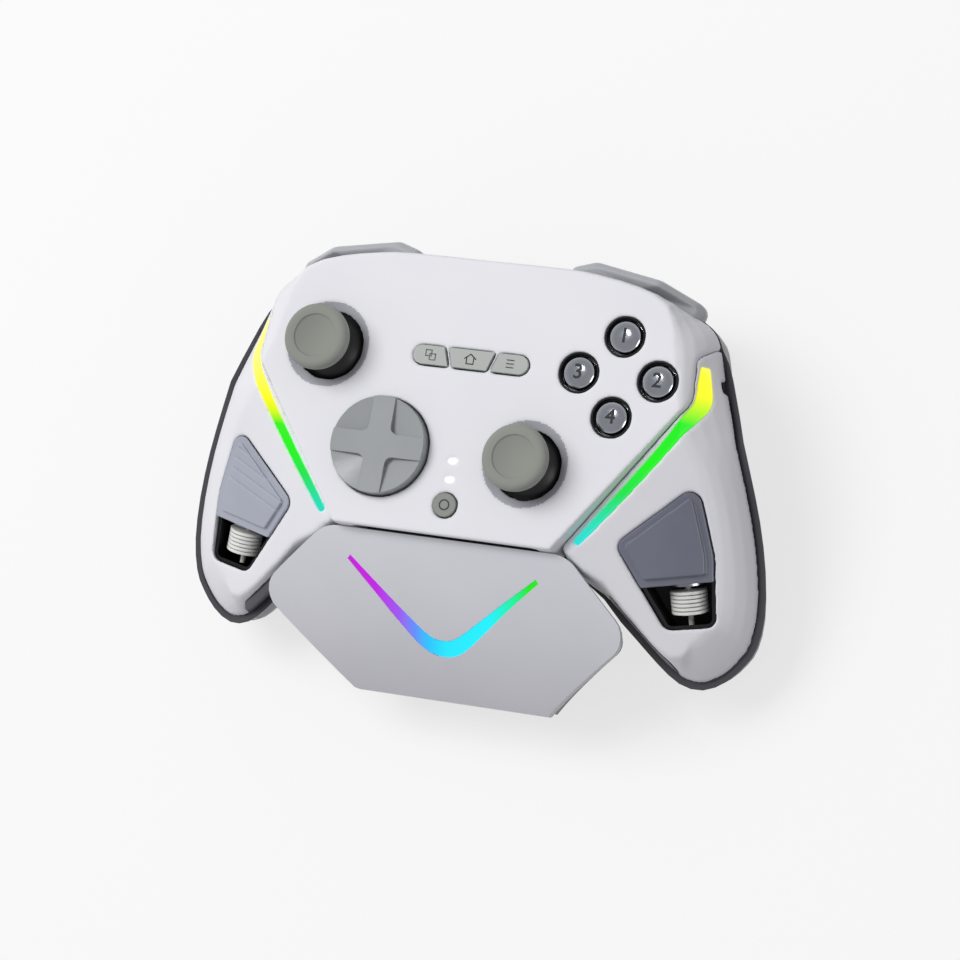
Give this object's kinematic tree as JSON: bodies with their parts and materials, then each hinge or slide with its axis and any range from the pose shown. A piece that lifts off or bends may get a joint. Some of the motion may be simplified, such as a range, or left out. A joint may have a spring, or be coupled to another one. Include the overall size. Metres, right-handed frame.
{
  "type": "gamepad controller",
  "caption": "Hand-held gamepad with thumbsticks, direction pad, round buttons, bumpers, triggers, rumble motors behind windows and a curved chin plate between the grips.",
  "frame": {"origin": "middle of the underside, on the plane on which the controller lies on its back", "axes": "+X to the right of the person who holds it, +Y away from that person, +Z out of the face"},
  "size_m": [0.1672, 0.1206, 0.0625],
  "materials": {
    "white_shell": "moulded, fine satin grain",
    "dark_shell": "moulded, fine dark grain",
    "black_plastic": "moulded, plain black",
    "grey_shoulder": "moulded, half gloss grey",
    "grey_gloss": "moulded, smooth gloss",
    "slate_cover": "moulded, half gloss slate",
    "plated_button": "plated, polished",
    "stick_cap": "moulded, soft matte",
    "light_pipe": "clear light pipe, polished",
    "steel": "turned and drawn",
    "pale_weight": "painted white",
    "stick_box": "moulded, plain",
    "circuit_board": "coated laminate",
    "silicone": "moulded silicone",
    "cell_wrap": "wrapped film"
  },
  "bodies": {
    "housing": {"front_plate": "white_shell", "left_grip_panel": "white_shell", "right_grip_panel": "white_shell", "chin_panel": "white_shell", "rear_shell": "dark_shell", "left_grip_inlay": "dark_shell", "right_grip_inlay": "dark_shell", "chin_backing": "dark_shell", "left_shoulder_frame": "dark_shell", "right_shoulder_frame": "dark_shell", "button_wells": "black_plastic", "left_motor_bay": "black_plastic", "right_motor_bay": "black_plastic", "dpad_bracket": "black_plastic", "left_motor_cover": "slate_cover", "right_motor_cover": "slate_cover", "chin_light": "light_pipe", "left_light_strip": "light_pipe", "right_light_strip": "light_pipe", "status_lights": "light_pipe", "left_rumble_motor": "steel", "right_rumble_motor": "steel", "left_bumper_pin": "steel", "right_bumper_pin": "steel", "left_trigger_pin": "steel", "right_trigger_pin": "steel", "usb_port": "steel", "screws": "steel", "left_stick_module": "stick_box", "right_stick_module": "stick_box", "control_board": "circuit_board", "main_board": "circuit_board", "button_mat": "silicone", "battery": "cell_wrap"},
    "left_yoke": {"left_stick_yoke": "black_plastic"},
    "left_stem": {"left_stick_stem": "steel"},
    "left_stick": {"left_thumbstick": "stick_cap"},
    "right_yoke": {"right_stick_yoke": "black_plastic"},
    "right_stem": {"right_stick_stem": "steel"},
    "right_stick": {"right_thumbstick": "stick_cap"},
    "pad_pivot": {"dpad_pivot": "steel"},
    "pad": {"dpad": "grey_gloss"},
    "button_1": {"face_button_1": "plated_button"},
    "button_2": {"face_button_2": "plated_button"},
    "button_3": {"face_button_3": "plated_button"},
    "button_4": {"face_button_4": "plated_button"},
    "view": {"view_button": "grey_gloss"},
    "home": {"home_button": "grey_gloss"},
    "menu": {"menu_button": "grey_gloss"},
    "mode": {"mode_button": "grey_gloss"},
    "left_bumper": {"left_bumper": "grey_shoulder"},
    "right_bumper": {"right_bumper": "grey_shoulder"},
    "left_trigger": {"left_trigger": "grey_shoulder"},
    "right_trigger": {"right_trigger": "grey_shoulder"},
    "left_weight": {"left_rumble_weight": "pale_weight"},
    "right_weight": {"right_rumble_weight": "pale_weight"}
  },
  "joints": [
    {"name": "left_stick_up_down", "type": "hinge", "parent": "housing", "child": "left_yoke", "pos_m": [-0.0416, 0.0229, 0.041], "axis": [1, 0, 0], "range_deg": [-16, 16], "stiffness_Nm_per_rad": 0.05},
    {"name": "left_stick_side", "type": "hinge", "parent": "left_yoke", "child": "left_stem", "pos_m": [-0.0416, 0.0229, 0.041], "axis": [0, 1, 0], "range_deg": [-16, 16], "stiffness_Nm_per_rad": 0.05},
    {"name": "left_stick_press", "type": "slide", "parent": "left_stem", "child": "left_stick", "axis": [0, 0, -1], "range_m": [0, 0.0006], "stiffness_N_per_m": 2500},
    {"name": "right_stick_up_down", "type": "hinge", "parent": "housing", "child": "right_yoke", "pos_m": [0.0203, -0.0033, 0.041], "axis": [1, 0, 0], "range_deg": [-16, 16], "stiffness_Nm_per_rad": 0.05},
    {"name": "right_stick_side", "type": "hinge", "parent": "right_yoke", "child": "right_stem", "pos_m": [0.0203, -0.0033, 0.041], "axis": [0, 1, 0], "range_deg": [-16, 16], "stiffness_Nm_per_rad": 0.05},
    {"name": "right_stick_press", "type": "slide", "parent": "right_stem", "child": "right_stick", "axis": [0, 0, -1], "range_m": [0, 0.0006], "stiffness_N_per_m": 2500},
    {"name": "pad_up_down", "type": "hinge", "parent": "housing", "child": "pad_pivot", "pos_m": [-0.021, -0.0034, 0.05], "axis": [1, 0, 0], "range_deg": [-4, 4], "stiffness_Nm_per_rad": 0.1},
    {"name": "pad_side", "type": "hinge", "parent": "pad_pivot", "child": "pad", "pos_m": [-0.021, -0.0034, 0.05], "axis": [0, 1, 0], "range_deg": [-4, 4], "stiffness_Nm_per_rad": 0.1},
    {"name": "button_1_press", "type": "slide", "parent": "housing", "child": "button_1", "axis": [0, 0, -1], "range_m": [0, 0.0012], "stiffness_N_per_m": 800},
    {"name": "button_2_press", "type": "slide", "parent": "housing", "child": "button_2", "axis": [0, 0, -1], "range_m": [0, 0.0012], "stiffness_N_per_m": 800},
    {"name": "button_3_press", "type": "slide", "parent": "housing", "child": "button_3", "axis": [0, 0, -1], "range_m": [0, 0.0012], "stiffness_N_per_m": 800},
    {"name": "button_4_press", "type": "slide", "parent": "housing", "child": "button_4", "axis": [0, 0, -1], "range_m": [0, 0.0012], "stiffness_N_per_m": 800},
    {"name": "view_press", "type": "slide", "parent": "housing", "child": "view", "axis": [0, 0, -1], "range_m": [0, 0.0008], "stiffness_N_per_m": 900},
    {"name": "home_press", "type": "slide", "parent": "housing", "child": "home", "axis": [0, 0, -1], "range_m": [0, 0.0008], "stiffness_N_per_m": 900},
    {"name": "menu_press", "type": "slide", "parent": "housing", "child": "menu", "axis": [0, 0, -1], "range_m": [0, 0.0008], "stiffness_N_per_m": 900},
    {"name": "mode_press", "type": "slide", "parent": "housing", "child": "mode", "axis": [0, 0, -1], "range_m": [0, 0.0008], "stiffness_N_per_m": 900},
    {"name": "right_bumper_press", "type": "hinge", "parent": "housing", "child": "right_bumper", "pos_m": [0.0244, 0.0466, 0.0415], "axis": [0, 0, -1], "range_deg": [0, 2], "stiffness_Nm_per_rad": 0.8},
    {"name": "left_bumper_press", "type": "hinge", "parent": "housing", "child": "left_bumper", "pos_m": [-0.0244, 0.0466, 0.0415], "axis": [0, 0, 1], "range_deg": [0, 2], "stiffness_Nm_per_rad": 0.8},
    {"name": "right_trigger_pull", "type": "hinge", "parent": "housing", "child": "right_trigger", "pos_m": [0.043, 0.0375, 0.0296], "axis": [-1, 0, 0], "range_deg": [0, 15], "stiffness_Nm_per_rad": 0.12},
    {"name": "left_trigger_pull", "type": "hinge", "parent": "housing", "child": "left_trigger", "pos_m": [-0.043, 0.0375, 0.0296], "axis": [-1, 0, 0], "range_deg": [0, 15], "stiffness_Nm_per_rad": 0.12},
    {"name": "right_weight_spin", "type": "hinge", "parent": "housing", "child": "right_weight", "pos_m": [0.06459, -0.03065, 0.02883], "axis": [-0.1583, 0.9231, 0.3505], "continuous": true},
    {"name": "left_weight_spin", "type": "hinge", "parent": "housing", "child": "left_weight", "pos_m": [-0.06459, -0.03065, 0.02883], "axis": [0.1583, 0.9231, 0.3505], "continuous": true}
  ]
}
